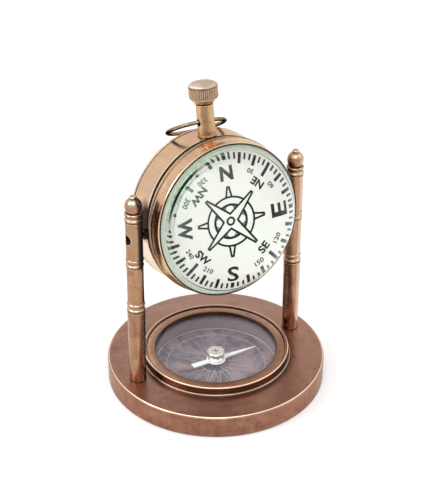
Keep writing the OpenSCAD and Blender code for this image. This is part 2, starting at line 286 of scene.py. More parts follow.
class Metal(Shader):
    """Turned and lacquered copper or brass, in the frame of the piece's own axis."""

    def __init__(self, name, matrix, finish):
        super().__init__(name)
        self.finish = finish
        self.place_here = self.place(matrix)
        self.radius, angle, self.height = self.round_place(self.place_here)
        turned = {0: self.radius, 1: self.height, 2: self.math("MULTIPLY", angle, ROUND_GRAIN)}
        turned = self.add("CombineXYZ", turned).outputs[0]
        drawn = {0: self.place_here, 1: ALONG_GRAIN}
        drawn = self.add("VectorMath", drawn, operation="MULTIPLY").outputs[0]
        self.tool_marks = self.noise(turned, TOOL_MARKS, 4.0, 0.65)
        self.clouds = self.noise(self.place_here, CLOUDS, 5.0, 0.6)
        bands = self.noise(turned, TURNED_BANDS, 2.0)
        streaks = self.noise(drawn, DRAWN_STREAKS, 3.0)
        self.colour = self.stained(bands, streaks)
        self.bare, self.dirt = 0.0, None

    def stained(self, bands, streaks):
        """Clouds, turned bands, drawn streaks, wide patches and specks."""
        finish = self.finish
        stain = self.math("MULTIPLY", self.clouds, 0.55)
        stain = self.math("ADD", stain, self.math("MULTIPLY", bands, 0.2))
        stain = self.math("ADD", stain, self.math("MULTIPLY", streaks, 0.25))
        stain = self.remap(stain, 0.38, 0.62, 0.0, finish.stains)
        colour = self.mix(stain, finish.bright, finish.dull)
        patches = self.noise(self.place_here, PATCHES, 3.0)
        colour = self.mix(self.remap(patches, 0.4, 0.62, 0.0, 0.65), colour, finish.blush)
        specks = self.remap(self.noise(self.place_here, SPECKS, 3.0, 0.6), 0.58, 0.74, 0.0, 0.6)
        return self.mix(specks, colour, finish.dull, "MULTIPLY")

    def ragged(self, value, reach):
        """A value made uneven by the clouds, up to a reach either way."""
        return self.math("ADD", value, self.vary(self.clouds, -reach, reach))

    # Tarnish, stains, and painted light and shade

    def darken(self, amount):
        """Darkening by an amount from 0 to 1: tarnish, and painted shade where a call says so."""
        self.colour = self.mix(amount, self.colour, TARNISH_AND_SHADE)

    def dull(self, amount):
        """No worn edges and no shine under tarnish and under painted shade."""
        self.dirt = amount if self.dirt is None else self.math("MAXIMUM", self.dirt, amount)

    def soil(self, inside, depth):
        """Darkening that also dulls what it covers: tarnish, and painted shade where a call says
        so.
        """
        self.darken(self.math("MULTIPLY", inside, depth))
        self.dull(inside)

    def blacken(self, low, high, depth):
        """Dark band between two heights that also dulls the metal: tarnish in grooves and seams,
        and painted shade where a call says so.
        """
        self.soil(self.between(self.height, low, high, GROOVE_SOFT), depth)

    def dirty_ring(self, low, high, depth):
        """Dirt between two distances from the axis."""
        self.soil(self.between(self.radius, low, high, RING_SOFT), depth)

    def shade_ring(self, radius, reach, depth):
        """Tarnish, and painted shade where a call says so, fading outwards from a radius."""
        away = self.ragged(self.radius, reach / 4)
        self.darken(self.remap(away, radius, radius + reach, depth, 0.0))

    def shade_end(self, direction, start, end, depth, colour):
        """Painted shade that grows along a direction across the piece, in the piece's own frame; a
        pale colour paints light instead.
        """
        along = self.ragged(self.dot(self.place_here, direction), 2 * MM)
        self.colour = self.mix(self.remap(along, start, end, 0.0, depth), self.colour, colour)

    def stain_side(self, direction, start, depth, spread=0.6, colour=TARNISH_AND_SHADE, above=None):
        """Painted light and shade on the side that faces a direction, everywhere or above a height.

        It sets in where the normal's dot product with the direction is start, and is full a
        spread further on. The direction is in the model's frame, at rest.
        """
        normal = self.add("TexCoord").outputs["Normal"]
        facing = self.ragged(self.dot(normal, direction), spread / 3)
        amount = self.remap(facing, start, start + spread, 0.0, depth)
        if above is not None:
            upper = self.remap(self.height, above - MM, above + MM)
            amount = self.math("MULTIPLY", amount, upper)
        self.colour = self.mix(amount, self.colour, colour)
        # shade painted in the dark default colour also takes away shine and worn edges
        if colour == TARNISH_AND_SHADE:
            self.dull(amount)

    def tarnish_pivots(self, rise=4 * MM, inner=4 * MM, outer=7.5 * MM, depth=0.92):
        """Painted shade on the drum's sides beside the posts, in a patch a little above each pivot;
        it also dulls the metal there.
        """
        x, y, z = self.add("SeparateXYZ", {0: self.place_here}).outputs
        away = self.ragged(self.hypot(self.math("SUBTRACT", y, rise), z), 1 * MM)
        side = self.remap(self.math("ABSOLUTE", x), 20 * MM, 22 * MM)
        inside = self.math("MULTIPLY", self.remap(away, inner, outer, 1.0, 0.0), side)
        self.soil(inside, depth)
        self.bare = self.math("MULTIPLY", self.bare, self.math("SUBTRACT", 1.0, inside))

    # Wear, which on rims, bands and corners also stands for highlights

    def rub_rim(self, radius, height, width, depth, worn=1.0):
        """Worn metal on a rim, bright enough to stand for its highlight: outside a radius and above
        a height, less a width and a depth.
        """
        inner, lower = radius - width, height - depth
        outward = self.remap(self.radius, inner - GROOVE_SOFT, inner, 0.0, worn)
        upward = self.remap(self.height, lower - GROOVE_SOFT, lower)
        self.bare = self.math("MAXIMUM", self.bare, self.math("MULTIPLY", outward, upward))

    def rub_band(self, low, high, least=0.8):
        """Worn metal between two heights, uneven, bright enough to stand for a highlight line."""
        band = self.between(self.height, low, high, GROOVE_SOFT)
        worn = self.math("MULTIPLY", band, self.remap(self.clouds, 0.4, 0.58, least, 1.0))
        self.bare = self.math("MAXIMUM", self.bare, worn)

    def rub_top(self, height, colour):
        """Bright worn metal above a height."""
        top = self.remap(self.height, height, height + 0.3 * MM)
        worn = self.math("MULTIPLY", top, self.remap(self.clouds, 0.36, 0.6, 0.35, 0.85))
        self.colour = self.mix(worn, self.colour, colour)

    def rubbed(self, soft, open_air):
        """Worn metal on corners that stand free and clean, and on worn rims and bands; it also
        stands for their highlights.
        """
        sharp = self.add("NewGeometry").outputs["Normal"]
        corner = self.remap(self.dot(soft, sharp), 0.99, 0.92)
        rubbed = self.math("MULTIPLY", corner, self.remap(open_air, 0.5, 0.8))
        rubbed = self.math("MULTIPLY", rubbed, self.remap(self.clouds, 0.3, 0.55, 0.6, 1.0))
        if self.dirt is not None:
            rubbed = self.math("MULTIPLY", rubbed, self.math("SUBTRACT", 1.0, self.dirt))
        return self.math("MAXIMUM", rubbed, self.bare)

    # The whole surface

    def painted(self, colour, bore, paint):
        """Colour and metal of a piece that is painted inside a bore, with worn paint."""
        inside = self.remap(self.radius, bore - PAINT_SOFT, bore, 1.0, 0.0)
        worn = self.remap(self.clouds, 0.4, 0.6, 0.0, 0.12)
        colour = self.mix(inside, colour, self.mix(worn, paint, self.finish.dull))
        return colour, self.math("SUBTRACT", 1.0, inside)

    def roughness(self, rubbed):
        """Uneven gloss with tool marks, duller on worn corners, rims and bands."""
        gloss = self.finish.gloss
        rough = self.vary(self.clouds, gloss * 0.8, gloss * 1.2)
        rough = self.math("ADD", rough, self.vary(self.tool_marks, -0.03, 0.03))
        return self.math("MAXIMUM", rough, self.math("MULTIPLY", rubbed, 0.5))

    def done(self, bore=0.0, paint=None, edge=0.22 * MM, hollow=0.9 * MM):
        """The material, darker in hollows by ambient occlusion, with worn edges that also stand for
        highlights, and paint inside a bore.
        """
        finish = self.finish
        open_air = self.add("AmbientOcclusion", {"Distance": hollow}, samples=8).outputs["AO"]
        # darker in hollows and where parts meet, by ambient occlusion
        self.darken(self.remap(open_air, 0.4, finish.grime, 0.92, 0.0))
        soft = self.add("Bevel", {"Radius": edge}, samples=6).outputs[0]
        rubbed = self.rubbed(soft, open_air)
        colour, metallic = self.mix(rubbed, self.colour, finish.edge), 1.0
        if paint:
            colour, metallic = self.painted(colour, bore, paint)
        graze = finish.graze
        if self.dirt is not None:
            graze = self.mix(self.dirt, graze, TARNISH_AND_SHADE)
        return self.principled({
            "Base Color": colour, "Metallic": metallic, "Roughness": self.roughness(rubbed),
            "Specular Tint": graze, "Coat Weight": finish.coat, "Coat Roughness": 0.25,
            "Normal": self.bump(self.tool_marks, finish.marks, MARK_DEPTH, soft)})


def plain_metal(name, colour, gloss, worn=0.7):
    """Small steel and brass parts with faint scratches."""
    s = Shader(name)
    place = s.here()
    cloud = s.noise(place, 900.0, 4.0)
    scratches = s.noise(place, 5000.0, 2.0)
    dark = tuple(channel * worn for channel in colour[:3]) + (1.0,)
    return s.principled({
        "Base Color": s.cloudy(cloud, colour, dark), "Metallic": 1.0,
        "Roughness": s.vary(cloud, gloss * 0.8, gloss * 1.25),
        "Normal": s.bump(scratches, 0.1, MARK_DEPTH)})


# Paper, paint and glass

FIBRE_DEPTH = 0.01 * MM


def paper(name, colour, shade, gloss, grain=0.15, shine=0.5):
    """Printed paper, ink or paint with a faint grain."""
    s = Shader(name)
    place = s.here()
    cloud = s.noise(place, 140.0, 4.0)
    fibre = s.noise(place, 4000.0, 3.0)
    return s.principled({
        "Base Color": s.cloudy(cloud, colour, shade),
        "Roughness": s.vary(fibre, gloss * 0.9, gloss * 1.1),
        "Specular IOR Level": shine, "Normal": s.bump(fibre, grain, FIBRE_DEPTH)})


def dial_paper():
    """Plum paper, faded in lavender and pink patches."""
    s = Shader("dial_print_aged")
    place = s.here()
    fade = s.noise(place, 240.0, 4.0)
    blush = s.noise(place, 150.0, 3.0)
    fibre = s.noise(place, 3000.0, 3.0)
    tone = s.mix(s.remap(fade, 0.42, 0.58), srgb(84, 68, 86), srgb(130, 114, 126))
    tone = s.mix(s.remap(blush, 0.52, 0.64, 0.0, 0.65), tone, srgb(168, 142, 142))
    tone = s.mix(s.remap(fibre, 0.4, 0.7, 0.0, 0.3), tone, srgb(80, 66, 80))
    return s.principled({"Base Color": tone, "Roughness": s.vary(fibre, 0.4, 0.5)})


def needle_paint():
    """White enamel, with the dart at the tail painted a muted red."""
    s = Shader("needle_enamel")
    place = s.here()
    x = s.add("SeparateXYZ", {0: place}).outputs[0]
    cloud = s.noise(place, 700.0, 3.0)
    white = s.cloudy(cloud, srgb(255, 255, 255), srgb(248, 246, 246))
    red = s.cloudy(cloud, srgb(158, 108, 106), srgb(128, 80, 82))
    tail = s.remap(x, -9.25 * MM, -9.15 * MM, 1.0, 0.0)
    tone = s.mix(tail, white, red)
    return s.principled({"Base Color": tone, "Roughness": s.vary(cloud, 0.4, 0.5)})


MINT = srgb(240, 244, 230)


def seat_ring():
    """Pale gasket, with painted shade on its inner edge and on the lower right of its outer half.
    """
    s = Shader("seat_ring_pale")
    radius, angle, _ = s.round_place(s.place(IN_DRUM))
    cloud = s.noise(s.here(), 300.0, 4.0)
    pale = s.cloudy(cloud, MINT, srgb(224, 230, 210))
    reach = [point.xy.length for point in points_in(IN_DRUM, "lens_seat_ring")]
    inner, middle = min(reach), (min(reach) + max(reach)) / 2
    lower_right = s.math("COSINE", s.math("ADD", angle, math.radians(48)))
    outside = s.remap(radius, middle - 0.05 * MM, middle + 0.25 * MM)
    grime = s.math("MULTIPLY", outside, s.remap(lower_right, 0.4, 0.8))
    edge = s.remap(radius, inner + 0.02 * MM, inner + 0.06 * MM, 1.0, 0.0)
    # the dark inner edge and the lower right of the outer half are painted shade
    tone = s.mix(s.math("MAXIMUM", edge, grime), pale, srgb(34, 40, 34))
    return s.principled({"Base Color": tone, "Roughness": s.vary(cloud, 0.4, 0.55)})


def glass(name, tint, density, ior, shine=1.0):
    """Solid glass, tinted through its depth, which lets the lamps through."""
    s = Shader(name)
    body = s.add("BsdfPrincipled", {
        "Base Color": (1, 1, 1, 1), "Roughness": 0.0, "IOR": ior, "Transmission Weight": 1.0,
        "Specular Tint": (shine, shine, shine, 1)}).outputs[0]
    clear = s.add("BsdfTransparent", {"Color": (0.96, 0.98, 0.97, 1)}).outputs[0]
    lamps = s.add("LightPath").outputs["Is Shadow Ray"]
    mixed = s.add("MixShader", {0: lamps, 1: body, 2: clear}).outputs[0]
    depth = s.add("VolumeAbsorption", {"Color": tint, "Density": density}).outputs[0]
    return s.show(mixed, depth)


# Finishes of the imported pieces

BASE_EDGE, _, BASE_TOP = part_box("base_disc")[1]
FLANGE, _, RIM_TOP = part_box("compass_bowl")[1]
RIM = FLANGE - 0.7 * MM  # outside of the bowl's rim, on its flange
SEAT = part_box("bezel_ring")[1].x
WINDOW = SEAT - 2.93 * MM  # inside of the bezel
DIAL_EDGE, _, DIAL_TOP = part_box("compass_dial")[1]
LENS_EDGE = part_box("dome_lens")[1].x
CASE_REAR = span_in(IN_DRUM, "case_barrel")[0]
CROWN_FOOT, CROWN_TOP = span_in(IN_STEM, "crown_knob")
SEAM = 1.8 * MM  # where the front bezel meets the barrel, from the pivots forwards
POST_MIDDLE = 45 * MM  # from the base's top

# Directions that painted light and shade face
FRONT_LEFT, BACK_RIGHT = (-0.52, -0.85, 0), (0.52, 0.85, 0)
DOWN = (0, 0, -1)


def dress(material, *names):
    """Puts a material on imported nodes."""
    for name in names:
        for holder in NODES[name].material_slots:
            holder.material = material


def dress_stand():
    """Base, bowl and bezel."""
    base = Metal("base_copper_turned", IN_STAND, BASE_COPPER)
    # painted sheen: the top paler where it faces up and towards the back
    base.stain_side((-0.2, 0.3, 1), start=0.85, depth=0.25, spread=0.15, colour=srgb(178, 146, 134))
    # painted shade on the side that faces the front left
    base.stain_side(FRONT_LEFT, start=0.6, depth=0.3)
    # painted shade towards the front left, and painted light towards the back right
    base.shade_end(FRONT_LEFT, 5 * MM, 36 * MM, depth=0.3, colour=srgb(120, 66, 44))
    base.shade_end(BACK_RIGHT, 8 * MM, 36 * MM, depth=0.35, colour=srgb(192, 162, 150))
    # tarnish and painted contact shade round the bowl's flange
    base.shade_ring(FLANGE, reach=2.4 * MM, depth=0.6)
    # worn top edge, bright enough to stand for its highlight
    base.rub_rim(BASE_EDGE, BASE_TOP, width=0.5 * MM, depth=0.16 * MM)
    dress(base.done(edge=0.15 * MM), "base_disc")
    bowl = Metal("bowl_copper_turned", IN_STAND, BOWL_COPPER)
    # painted dark reflection of the base's top on the bowl's outer wall
    bowl.blacken(BASE_TOP + 0.55 * MM, RIM_TOP - 0.5 * MM, depth=0.62)
    bowl.dirty_ring(SEAT - 0.2 * MM, SEAT + 0.1 * MM, depth=0.97)
    # worn rim and flange edges, bright enough to stand for their highlights
    bowl.rub_rim(RIM, RIM_TOP, width=0.34 * MM, depth=0.25 * MM)
    bowl.rub_rim(FLANGE, BASE_TOP, width=0.16 * MM, depth=0.0, worn=0.75)
    dress(bowl.done(bore=DIAL_EDGE + 0.4 * MM, paint=srgb(132, 112, 124)), "compass_bowl")
    bezel = Metal("bezel_copper_turned", IN_STAND, BEZEL_COPPER)
    # painted shade, darker towards the front
    bezel.shade_end((-0.4, -0.92, 0), 4 * MM, 22 * MM, depth=0.5, colour=srgb(124, 70, 48))
    bezel.shade_ring(WINDOW, reach=2.2 * MM, depth=0.45)
    bezel.dirty_ring(SEAT - 0.12 * MM, SEAT + 0.2 * MM, depth=0.97)
    # black inside the window is painted shade on the bezel's inner wall
    dress(bezel.done(bore=WINDOW + 0.06 * MM, paint=srgb(8, 3, 2)), "bezel_ring")


def dress_posts():
    """Posts, each with painted highlights on some sides and painted shade on others."""
    left = Metal("left_post_turned", in_post("left_post"), POST_COPPER)
    # pale colours for the painted highlights
    painted_side_light, painted_top_light = srgb(246, 214, 184), srgb(246, 226, 206)
    # painted highlights on the side that faces right and on the upper faces
    left.stain_side((0.94, 0.34, 0), start=0.6, depth=0.8, spread=0.3, colour=painted_side_light)
    left.stain_side((-0.35, -0.35, 0.87), start=0.6, depth=0.6, spread=0.4, colour=painted_top_light)
    # painted shade on the side that faces the front right, more on the upper half
    left.stain_side((0.81, -0.588, 0), start=0.84, depth=0.95, spread=0.1)
    left.stain_side((0.616, -0.788, 0), start=0.66, depth=0.95, spread=0.16, above=POST_MIDDLE)
    left.stain_side((0.7, -0.56, 0.44), start=0.6, depth=0.92, spread=0.12, above=POST_MIDDLE)
    dress(left.done(edge=0.3 * MM), "left_post")
    right = Metal("right_post_turned", in_post("right_post"), POST_COPPER)
    painted_side_light, painted_top_light = srgb(240, 220, 200), srgb(240, 214, 178)
    # painted highlights on the front right edge and the upper faces
    right.stain_side((0.53, -0.848, 0), start=0.82, depth=0.45, spread=0.12, colour=painted_side_light)
    right.stain_side((0.2, -0.4, 0.9), start=0.55, depth=0.55, spread=0.4, colour=painted_top_light)
    # painted shade on the faces towards the front left and down
    right.stain_side((-0.75, -0.35, -0.56), start=0.6, depth=0.7, spread=0.3)
    dress(right.done(edge=0.3 * MM), "right_post")


def dress_drum():
    """Barrel with its back cover, and front bezel, with a dirty seam between them and painted
    shadow behind the bezel's bead.
    """
    case = Metal("case_brass_turned", IN_DRUM, CASE_BRASS)
    # painted reflection of the white floor: the barrel paler on its lower left
    case.stain_side((-0.6, 0, -0.8), start=0.5, depth=0.95, spread=0.3, colour=srgb(255, 250, 247))
    # a dirty seam, and painted shadow on the barrel behind the bezel's bead
    case.blacken(SEAM - 0.7 * MM, SEAM + 0.05 * MM, depth=1.0)
    # a highlight line beside the seam, painted as worn metal
    case.rub_band(SEAM - 1.4 * MM, SEAM - 0.8 * MM, least=0.5)
    # painted shade beside each post
    case.tarnish_pivots()
    case.blacken(CASE_REAR, CASE_REAR + 0.35 * MM, depth=0.9)
    dress(case.done(), "case_barrel", "back_cover")
    front = Metal("front_brass_turned", IN_DRUM, FRONT_BRASS)
    # painted highlight on the bezel's upper right
    painted_highlight = srgb(255, 240, 216)
    front.stain_side((0.62, 0.1, 0.77), start=0.8, depth=0.9, spread=0.15, colour=painted_highlight)
    front.blacken(SEAM - 0.2 * MM, SEAM + 0.3 * MM, depth=1.0)
    # a dirty groove line on the bead's front flank, with painted shade of the groove
    front.blacken(SEAM + 1.25 * MM, SEAM + 2.1 * MM, depth=0.55)
    # highlight line on the bead's crest, painted as worn metal
    front.rub_band(SEAM + 0.4 * MM, SEAM + 1.0 * MM)
    front.dirty_ring(LENS_EDGE, LENS_EDGE + 0.2 * MM, depth=1.0)
    dress(front.done(bore=LENS_EDGE + 0.1 * MM, paint=MINT), "front_bezel")


def dress_stem():
    """Stem, crown and hanging ring."""
    stem = Metal("stem_brass_turned", IN_STEM, STEM_BRASS)
    # painted shade: a dark streak on the side that faces the front left
    stem.stain_side((-0.55, -0.83, 0), start=0.85, depth=0.5, spread=0.12)
    dress(stem.done(), "stem", "crown_shaft")
    crown = Metal("crown_brass_turned", IN_STEM, CROWN_BRASS)
    # painted light on the crown's downward faces
    crown.stain_side(DOWN, start=0.2, depth=0.6, spread=0.3, colour=srgb(240, 204, 186))
    crown.rub_top(CROWN_TOP - 0.7 * MM, srgb(246, 236, 230))
    # highlight line round the top's edge, painted as worn metal
    crown.rub_band(CROWN_TOP - 0.5 * MM, CROWN_TOP - 0.25 * MM, least=0.1)
    crown.blacken(CROWN_TOP - 1.15 * MM, CROWN_TOP - 0.9 * MM, depth=0.3)
    crown.blacken(CROWN_FOOT, CROWN_FOOT + 0.3 * MM, depth=0.9)
    dress(crown.done(hollow=0.7 * MM), "crown_knob")
    ring = Metal("ring_brass_worn", IN_STEM, RING_BRASS)
    # painted shade on the ring's underside
    ring.stain_side(DOWN, start=-0.35, depth=0.97)
    dress(ring.done(), "bow_ring")


def dress_small_metals():
    """Plate, bushes, needle's hub, screws, pins and magnets."""
    plate = plain_metal("plate_brass_turned", srgb(200, 170, 110), gloss=0.35)
    dress(plate, "pivot_plate", "card_hub")
    # dark bushes, which also stand for the shade round the pivots
    bush = plain_metal("bush_dark", srgb(84, 60, 44), gloss=0.35)
    dress(bush, "left_trunnion_bush", "right_trunnion_bush")
    dress(plain_metal("hub_polished", srgb(248, 242, 234), gloss=0.3, worn=0.75), "needle_hub")
    dress(plain_metal("screw_steel_plain", srgb(170, 170, 166), gloss=0.35), "post_screws")
    screw = plain_metal("screw_darkened", srgb(52, 40, 34), gloss=0.4)
    dress(screw, "left_pivot_screw", "right_pivot_screw")
    pin = plain_metal("pin_ground", srgb(200, 196, 186), gloss=0.25)
    dress(pin, "needle_pivot", "card_pivot")
    dress(plain_metal("magnet_dark", srgb(110, 110, 114), gloss=0.45), "card_magnets")


def dress_others():
    """Jewel, papers, gasket, enamel and flat glass."""
    jewel = paper("jewel_red", srgb(170, 40, 52), srgb(140, 26, 40), gloss=0.1, grain=0.0)
    dress(jewel, "hub_jewel")
    dress(dial_paper(), "compass_dial")
    card = paper("card_white", srgb(255, 246, 243), srgb(252, 243, 240), gloss=0.55)
    dress(card, "compass_card")
    dress(seat_ring(), "lens_seat_ring")
    dress(needle_paint(), "compass_needle")
    clear = glass("flat_glass_clear", tint=(0.6, 0.9, 0.8, 1), density=8.0, ior=1.5)
    dress(clear, "compass_glass")


dress_stand()
dress_posts()
dress_drum()
dress_stem()
dress_small_metals()
dress_others()


# The dome lens, turned finely so that it refracts smoothly, and the dark cement round it

ROUND_STEPS, DOME_STEPS, BEAD_STEPS = 256, 96, 12


def new_piece(name, mesh, material, body):
    """Object that rides on a body, with its material."""
    mesh.materials.append(material)
    piece = bpy.data.objects.new(name, mesh)
    bpy.context.scene.collection.objects.link(piece)
    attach(piece, body)
    return piece


def lathe(name, profile, material):
    """Piece of the drum, turned from (radius, height) points.

    A repeated point makes a sharp edge, and a radius of 0 a single point.
    """
    turning = bmesh.new()
    rings = []
    for radius, height in profile:
        turns = ROUND_STEPS if radius > 1e-9 else 1
        angles = [2 * math.pi * i / ROUND_STEPS for i in range(turns)]
        points = [(radius * math.cos(a), radius * math.sin(a), height) for a in angles]
        rings.append([turning.verts.new(point) for point in points])
    for (start, end), lower, upper in zip(zip(profile, profile[1:]), rings, rings[1:]):
        if start == end:
            continue
        for i in range(ROUND_STEPS):
            j = (i + 1) % ROUND_STEPS
            corners = [lower[i % len(lower)], lower[j % len(lower)],
                       upper[j % len(upper)], upper[i % len(upper)]]
            face = turning.faces.new(list(dict.fromkeys(corners)))
            face.smooth = True
    turning.transform(IN_DRUM)
    mesh = bpy.data.meshes.new(name)
    turning.to_mesh(mesh)
    turning.free()
    return new_piece(name, mesh, material, "drum")


def lens():
    """Solid of the CAD lens: flat back, short edge and dome. Gives the height of its rim."""
    back, top = span_in(IN_DRUM, "dome_lens")
    points = points_in(IN_DRUM, "dome_lens")
    rim = max(p.z for p in points if p.xy.length > LENS_EDGE - 0.01 * MM)
    rise = top - rim
    sphere = (LENS_EDGE ** 2 + rise ** 2) / (2 * rise)
    reach = math.asin(LENS_EDGE / sphere)
    lower, upper = (LENS_EDGE, back), (LENS_EDGE, rim)
    profile = [(0.0, back), lower, lower, upper, upper]
    for i in range(1, DOME_STEPS + 1):
        a = reach * (1 - i / DOME_STEPS)
        profile.append((sphere * math.sin(a), top - sphere * (1 - math.cos(a))))
    green = glass("lens_glass_green", tint=(0.42, 0.92, 0.6, 1), density=6.0, ior=1.54, shine=0.15)
    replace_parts(lathe("dome_lens_polished", profile, green), "dome_lens")
    return rim


def cement(rim):
    """Thin dark bead where the lens meets the bezel."""
    radius, height, thick = LENS_EDGE + 0.08 * MM, rim + 0.05 * MM, 0.25 * MM
    angles = [2 * math.pi * i / BEAD_STEPS for i in range(BEAD_STEPS + 1)]
    profile = [(radius + thick * math.cos(a), height + thick * math.sin(a)) for a in angles]
    dark = paper("cement_dark", srgb(16, 12, 7), srgb(8, 6, 4), gloss=0.6, shine=0.2)
    lathe("lens_cement", profile, dark)


cement(lens())


# Print: flat shapes in ink, drawn in a plane with +Y up and laid on the card, the dial or the hub

MITRE_LIMIT = 0.4  # least cosine of half a corner's turn, which keeps mitres short


def polar(radius, angle):
    """Point at a distance and an angle in degrees, clockwise from the top."""
    a = math.radians(angle)
    return radius * math.sin(a), radius * math.cos(a)


class Print:
    """A flat mesh made of polygons, lines and letters, in millimetres."""

    def __init__(self, name):
        self.mesh = bmesh.new()
        self.name = name

    def polygon(self, points):
        self.mesh.faces.new([self.mesh.verts.new((x, y, 0)) for x, y in points])

    def stroke(self, points, width, closed=False):
        """A line of even width through points, with mitred corners."""
        count = len(points)
        left, right = [], []
        for i, point in enumerate(points):
            here = Vector(point)
            before = Vector(points[i - 1]) if i or closed else None
            after = Vector(points[(i + 1) % count]) if i < count - 1 or closed else None
            into = (here - before).normalized() if before else (after - here).normalized()
            out = (after - here).normalized() if after else into
            along = (into + out).normalized()
            across = Vector((-along.y, along.x))
            reach = across * width / 2 / max(MITRE_LIMIT, along.dot(out))
            left.append(self.mesh.verts.new((*(here + reach), 0)))
            right.append(self.mesh.verts.new((*(here - reach), 0)))
        for i in range(count if closed else count - 1):
            j = (i + 1) % count
            self.mesh.faces.new((left[i], right[i], right[j], left[j]))

    def ring(self, radius, width, start=0.0, end=360.0):
        """An arc of a circle, in degrees clockwise from the top."""
        closed = end - start >= 360
        steps = max(6, round((end - start) / 4))
        count = steps if closed else steps + 1
        angles = [start + (end - start) * i / steps for i in range(count)]
        self.stroke([polar(radius, a) for a in angles], width, closed)

    def words(self, text, size, radius, angle, bold, stretch=1.0):
        """Letters whose tops face the centre."""
        curve = bpy.data.curves.new("letters", "FONT")
        curve.body, curve.size = text, size
        curve.align_x, curve.align_y = "CENTER", "CENTER"
        curve.offset, curve.resolution_u = bold, 3
        maker = bpy.data.objects.new("letters", curve)
        bpy.context.scene.collection.objects.link(maker)
        bpy.context.view_layer.update()
        solved = maker.evaluated_get(bpy.context.evaluated_depsgraph_get())
        shape = bpy.data.meshes.new_from_object(solved)
        spot = Matrix.Translation((*polar(radius, angle), 0))
        turn = Matrix.Rotation(math.radians(180 - angle), 4, "Z")
        shape.transform(spot @ turn @ Matrix.Diagonal((stretch, 1, 1, 1)))
        self.mesh.from_mesh(shape)
        bpy.data.objects.remove(maker)
        bpy.data.curves.remove(curve)
        bpy.data.meshes.remove(shape)

    def lay(self, matrix, body, material):
        """Puts the print on its plane, in metres, and lets it ride on a body."""
        bmesh.ops.recalc_face_normals(self.mesh, faces=self.mesh.faces)
        for face in self.mesh.faces:
            if face.normal.z < 0:
                face.normal_flip()
        mesh = bpy.data.meshes.new(self.name)
        self.mesh.to_mesh(mesh)
        self.mesh.free()
        mesh.transform(matrix @ Matrix.Scale(MM, 4))
        new_piece(self.name, mesh, material, body)


# The drum's card

Letter = namedtuple("Letter", "text size radius stretch bold")
CARD_LETTERS = (Letter("N", 5.9, 13.75, 0.92, 0.25), Letter("E", 7.0, 14.35, 1.2, 0.18),
                Letter("S", 6.4, 14.9, 1.2, 0.13), Letter("W", 5.8, 13.7, 0.9, 0.24))
TICK_OUTER, TICK_INNER, TICK_OF_15, TICK_OF_45 = 19.9, 17.6, 16.15, 14.5
STAR_TIP, STAR_CORNER, STAR_BLUNT = 9.3, 1.95, 1.6
ROSE_RING, ROSE_ARC, ROSE_HUB = 6.5, 4.4, 0.95
ROSE_HOLE, HOLE_GAP = 1.1, 0.2
SPOKE = ((ROSE_RING, -7), (9.35, -1.6), (9.35, 1.6), (ROSE_RING, 7))
QUARTERS = range(0, 360, 90)


def card_tick(angle):
    """Inner end and width of the tick at an angle."""
    if angle % 90 == 0:
        return TICK_INNER, 1.1
    if angle % 45 == 0:
        return TICK_OF_45, 0.92
    if angle % 15 == 0:
        return TICK_OF_15, 0.92
    return TICK_INNER, 0.62


def card_scale(ink):
    """Ticks, letters and degrees of the card."""
    for angle in range(0, 360, 5):
        inner, width = card_tick(angle)
        ink.stroke([polar(inner, angle), polar(TICK_OUTER, angle)], width)
    for angle, letter in zip(QUARTERS, CARD_LETTERS):
        ink.words(letter.text, letter.size, letter.radius, angle, letter.bold, letter.stretch)
    for angle, text in zip(QUARTERS, ("NE", "SE", "SW", "NW")):
        ink.words(text, size=3.1, radius=12.3, angle=angle + 45, bold=0.12)
    for angle in range(30, 360, 30):
        if angle % 90:
            ink.words(str(angle), size=2.05, radius=14.5, angle=angle, bold=0.05)


def star_edge(radius):
    """Angle from a spoke at which the star's side is at a radius."""
    corner = Vector((0, STAR_CORNER))
    side = Vector(polar(STAR_TIP, 45 - STAR_BLUNT)) - corner
    half = corner.dot(side) / side.length_squared
    t = math.sqrt(half ** 2 + (radius ** 2 - STAR_CORNER ** 2) / side.length_squared) - half
    x, y = corner + t * side
    return math.degrees(math.atan2(x, y))


def card_rose(ink, line=0.53):
    """Wind rose in outline: a star of four points, a ring, a hub and four spokes."""
    ink.ring(ROSE_HUB, line)
    star = []
    for middle in QUARTERS:
        star.append(polar(STAR_CORNER, middle))
        star.append(polar(STAR_TIP, middle + 45 - STAR_BLUNT))
        star.append(polar(STAR_TIP, middle + 45 + STAR_BLUNT))
    ink.stroke(star, line, closed=True)
    for middle in QUARTERS:
        for radius, width in ((ROSE_RING, line), (ROSE_ARC, line * 1.2)):
            end = star_edge(radius)
            ink.ring(radius, width, middle - end, middle + end)
        ink.stroke([polar(radius, middle + angle) for radius, angle in SPOKE], line)


def card_shade(ink):
    """Grey horns of the crescents between the star's points."""
    end = star_edge(ROSE_ARC)
    for middle in QUARTERS:
        hub = Vector(polar(ROSE_ARC - ROSE_HOLE - HOLE_GAP, middle))
        for side in (-1, 1):
            horn = [polar(ROSE_ARC, middle + side * end * i / 5) for i in range(1, 6)]
            round_hub = [polar(ROSE_HOLE, middle + side * a) for a in (110, 85, 60, 35, 10)]
            ink.polygon(horn + [tuple(hub + Vector(point)) for point in round_hub])


# The base's dial and the needle's hub

POINT_STEP = 22.5
POINT_TIPS = (16.4, 11.8, 14.2, 11.8)
POINT_ROOT, SHADE_ROOT = 4.6, 3.0
INNER_RING, SCALE_RING, SCALE_END = 5.2, 17.2, 18.3


def dial_points():
    """Tips of the dial's rose: angle and reach."""
    return [(POINT_STEP * i, POINT_TIPS[i % 4]) for i in range(16)]


